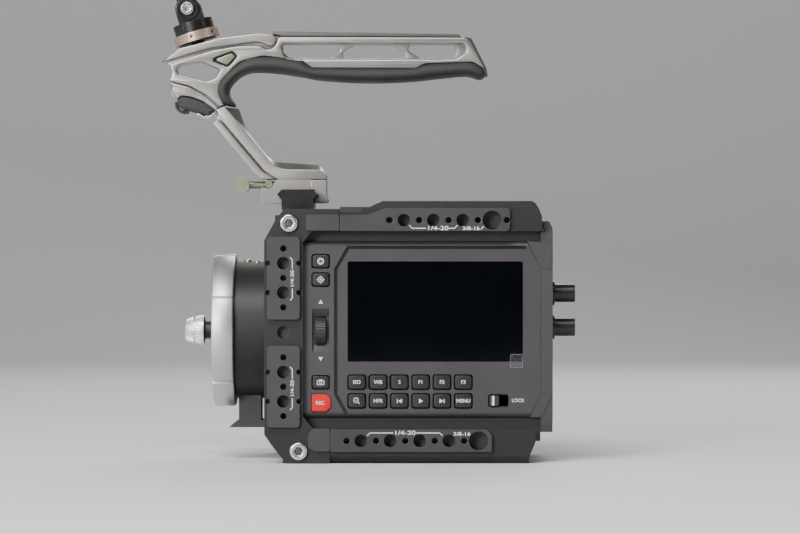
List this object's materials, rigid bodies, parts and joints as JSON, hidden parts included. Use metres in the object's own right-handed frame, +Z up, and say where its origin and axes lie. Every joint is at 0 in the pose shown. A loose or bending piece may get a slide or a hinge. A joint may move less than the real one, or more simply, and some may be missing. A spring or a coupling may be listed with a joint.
{
  "type": "cinema camera rig",
  "caption": "Box-style cinema camera in a threaded cage, with display, keypad, capped lens mount, rail-clamped top handle and tilting accessory mount.",
  "frame": {"origin": "mouth of the 1/4-20 tripod thread in the middle of the base", "axes": "+Z up, -X the way the lens looks, -Y the display side"},
  "size_m": [0.2177, 0.113, 0.2582],
  "materials": {
    "keypad_black": "matte, white legends",
    "record_red": "matte, white legend",
    "switch_grey": "satin",
    "wheel_black": "ribbed",
    "body_charcoal": "fine sand texture",
    "display_glass": "glossy cover glass over a dark panel",
    "cage_black": "fine-blasted, black anodised",
    "connector_metal": "dark plated",
    "board_green": "solder mask",
    "sensor_blue": "coated glass",
    "bare_aluminium": "extruded",
    "fan_black": "moulded",
    "battery_black": "moulded",
    "latch_red": "moulded",
    "mount_black": "semi-gloss",
    "ring_silver": "turned, satin chrome",
    "knob_bright": "knurled, bright",
    "pin_brass": "turned",
    "screw_steel": "bright",
    "handle_silver": "blasted, warm silver anodised",
    "grip_rubber": "fine stippled",
    "accent_green": "olive anodised",
    "collar_bronze": "knurled, bronze anodised",
    "mount_head_black": "satin, black anodised"
  },
  "bodies": {
    "rig": {"chassis": "body_charcoal", "control_panel": "body_charcoal", "display_glass": "display_glass", "right_cover": "body_charcoal", "rear_cover": "body_charcoal", "bnc_sockets": "connector_metal", "main_board": "board_green", "image_sensor": "sensor_blue", "heat_sink": "bare_aluminium", "battery_bay": "fan_black", "mount_tube": "mount_black", "mount_pins": "pin_brass", "left_column": "cage_black", "right_column": "cage_black", "top_plate": "cage_black", "bottom_plate": "cage_black", "cross_rail": "cage_black", "frame_screws": "screw_steel", "cage_screws": "screw_steel", "lens_support": "cage_black"},
    "handle": {"handle_frame": "handle_silver", "handle_grip": "grip_rubber", "top_pad": "grip_rubber", "badge_insert": "accent_green", "finger_rest": "grip_rubber", "arm_knuckle": "handle_silver", "handle_arm": "handle_silver", "clamp_body": "handle_silver", "mount_post": "mount_head_black"},
    "jaw": {"clamp_jaw": "handle_silver"},
    "t_screw": {"clamp_screw": "accent_green"},
    "collar": {"lock_collar": "collar_bronze"},
    "yoke": {"mount_yoke": "mount_head_black", "pivot_screw": "screw_steel"},
    "tilt": {"tilt_head": "mount_head_black"},
    "wheel": {"scroll_wheel": "wheel_black"},
    "lock": {"lock_switch": "switch_grey"},
    "door": {"media_door": "body_charcoal"},
    "battery_pack": {"battery": "battery_black"},
    "latch": {"battery_latch": "latch_red"},
    "fan": {"fan_rotor": "fan_black"},
    "ring": {"locking_ring": "ring_silver"},
    "cap": {"mount_cap": "mount_black", "cap_knob": "knob_bright"},
    "key_iso": {"key_iso": "keypad_black"},
    "key_wb": {"key_wb": "keypad_black"},
    "key_shutter": {"key_shutter": "keypad_black"},
    "key_f1": {"key_f1": "keypad_black"},
    "key_f2": {"key_f2": "keypad_black"},
    "key_f3": {"key_f3": "keypad_black"},
    "key_zoom": {"key_zoom": "keypad_black"},
    "key_hfr": {"key_hfr": "keypad_black"},
    "key_previous": {"key_previous": "keypad_black"},
    "key_play": {"key_play": "keypad_black"},
    "key_next": {"key_next": "keypad_black"},
    "key_menu": {"key_menu": "keypad_black"},
    "button_iris": {"button_iris": "keypad_black"},
    "button_focus": {"button_focus": "keypad_black"},
    "button_still": {"button_still": "keypad_black"},
    "button_record": {"button_record": "record_red"}
  },
  "joints": [
    {"name": "key_iso_press", "type": "slide", "parent": "rig", "child": "key_iso", "axis": [0, 1, 0], "range_m": [0, 0.0008], "stiffness_N_per_m": 900, "springref_m": -0.0006},
    {"name": "key_wb_press", "type": "slide", "parent": "rig", "child": "key_wb", "axis": [0, 1, 0], "range_m": [0, 0.0008], "stiffness_N_per_m": 900, "springref_m": -0.0006},
    {"name": "key_shutter_press", "type": "slide", "parent": "rig", "child": "key_shutter", "axis": [0, 1, 0], "range_m": [0, 0.0008], "stiffness_N_per_m": 900, "springref_m": -0.0006},
    {"name": "key_f1_press", "type": "slide", "parent": "rig", "child": "key_f1", "axis": [0, 1, 0], "range_m": [0, 0.0008], "stiffness_N_per_m": 900, "springref_m": -0.0006},
    {"name": "key_f2_press", "type": "slide", "parent": "rig", "child": "key_f2", "axis": [0, 1, 0], "range_m": [0, 0.0008], "stiffness_N_per_m": 900, "springref_m": -0.0006},
    {"name": "key_f3_press", "type": "slide", "parent": "rig", "child": "key_f3", "axis": [0, 1, 0], "range_m": [0, 0.0008], "stiffness_N_per_m": 900, "springref_m": -0.0006},
    {"name": "key_zoom_press", "type": "slide", "parent": "rig", "child": "key_zoom", "axis": [0, 1, 0], "range_m": [0, 0.0008], "stiffness_N_per_m": 900, "springref_m": -0.0006},
    {"name": "key_hfr_press", "type": "slide", "parent": "rig", "child": "key_hfr", "axis": [0, 1, 0], "range_m": [0, 0.0008], "stiffness_N_per_m": 900, "springref_m": -0.0006},
    {"name": "key_previous_press", "type": "slide", "parent": "rig", "child": "key_previous", "axis": [0, 1, 0], "range_m": [0, 0.0008], "stiffness_N_per_m": 900, "springref_m": -0.0006},
    {"name": "key_play_press", "type": "slide", "parent": "rig", "child": "key_play", "axis": [0, 1, 0], "range_m": [0, 0.0008], "stiffness_N_per_m": 900, "springref_m": -0.0006},
    {"name": "key_next_press", "type": "slide", "parent": "rig", "child": "key_next", "axis": [0, 1, 0], "range_m": [0, 0.0008], "stiffness_N_per_m": 900, "springref_m": -0.0006},
    {"name": "key_menu_press", "type": "slide", "parent": "rig", "child": "key_menu", "axis": [0, 1, 0], "range_m": [0, 0.0008], "stiffness_N_per_m": 900, "springref_m": -0.0006},
    {"name": "button_iris_press", "type": "slide", "parent": "rig", "child": "button_iris", "axis": [0, 1, 0], "range_m": [0, 0.0008], "stiffness_N_per_m": 900, "springref_m": -0.0006},
    {"name": "button_focus_press", "type": "slide", "parent": "rig", "child": "button_focus", "axis": [0, 1, 0], "range_m": [0, 0.0008], "stiffness_N_per_m": 900, "springref_m": -0.0006},
    {"name": "button_still_press", "type": "slide", "parent": "rig", "child": "button_still", "axis": [0, 1, 0], "range_m": [0, 0.0008], "stiffness_N_per_m": 900, "springref_m": -0.0006},
    {"name": "button_record_press", "type": "slide", "parent": "rig", "child": "button_record", "axis": [0, 1, 0], "range_m": [0, 0.0008], "stiffness_N_per_m": 900, "springref_m": -0.0006},
    {"name": "wheel_turn", "type": "hinge", "parent": "rig", "child": "wheel", "pos_m": [-0.0406, -0.0454, 0.0678], "axis": [1, 0, 0], "continuous": true},
    {"name": "lock_slide", "type": "slide", "parent": "rig", "child": "lock", "axis": [1, 0, 0], "range_m": [0, 0.0044]},
    {"name": "door_hinge", "type": "hinge", "parent": "rig", "child": "door", "pos_m": [-0.02, 0.0482, 0.056], "axis": [0, 0, 1], "range_deg": [0, 90]},
    {"name": "battery_slide", "type": "slide", "parent": "rig", "child": "battery_pack", "axis": [1, 0, 0], "range_m": [0, 0.074]},
    {"name": "latch_slide", "type": "slide", "parent": "rig", "child": "latch", "axis": [0, 0, 1], "range_m": [0, 0.004], "stiffness_N_per_m": 200, "springref_m": -0.001},
    {"name": "fan_spin", "type": "hinge", "parent": "rig", "child": "fan", "pos_m": [0.03625, 0, 0.108], "axis": [0, 0, 1], "continuous": true},
    {"name": "ring_turn", "type": "hinge", "parent": "rig", "child": "ring", "pos_m": [-0.0917, 0, 0.0673], "axis": [1, 0, 0], "range_deg": [0, 60]},
    {"name": "cap_slide", "type": "slide", "parent": "rig", "child": "cap", "axis": [-1, 0, 0], "range_m": [0, 0.03]},
    {"name": "handle_slide", "type": "slide", "parent": "rig", "child": "handle", "axis": [0, 1, 0], "range_m": [-0.012, 0.012]},
    {"name": "t_screw_turn", "type": "hinge", "parent": "handle", "child": "t_screw", "pos_m": [-0.07, 0, 0.1436], "axis": [-1, 0, 0], "range_deg": [0, 1440]},
    {"name": "jaw_slide", "type": "slide", "parent": "handle", "child": "jaw", "axis": [1, 0, 0], "range_m": [0, 0.0033]},
    {"name": "collar_turn", "type": "hinge", "parent": "handle", "child": "collar", "pos_m": [-0.10715, 0, 0.22168], "axis": [-0.2823, 0, 0.9593], "range_deg": [-180, 180]},
    {"name": "mount_pan", "type": "hinge", "parent": "handle", "child": "yoke", "pos_m": [-0.10856, 0, 0.22648], "axis": [-0.2823, 0, 0.9593], "range_deg": [-180, 180]},
    {"name": "mount_tilt", "type": "hinge", "parent": "yoke", "child": "tilt", "pos_m": [-0.1113, 0, 0.23578], "axis": [0, 1, 0], "range_deg": [-85, 85]}
  ],
  "couplings": [
    {"joint": "jaw_slide", "follows": "t_screw_turn", "m_per_rad": 0.00012732}
  ]
}
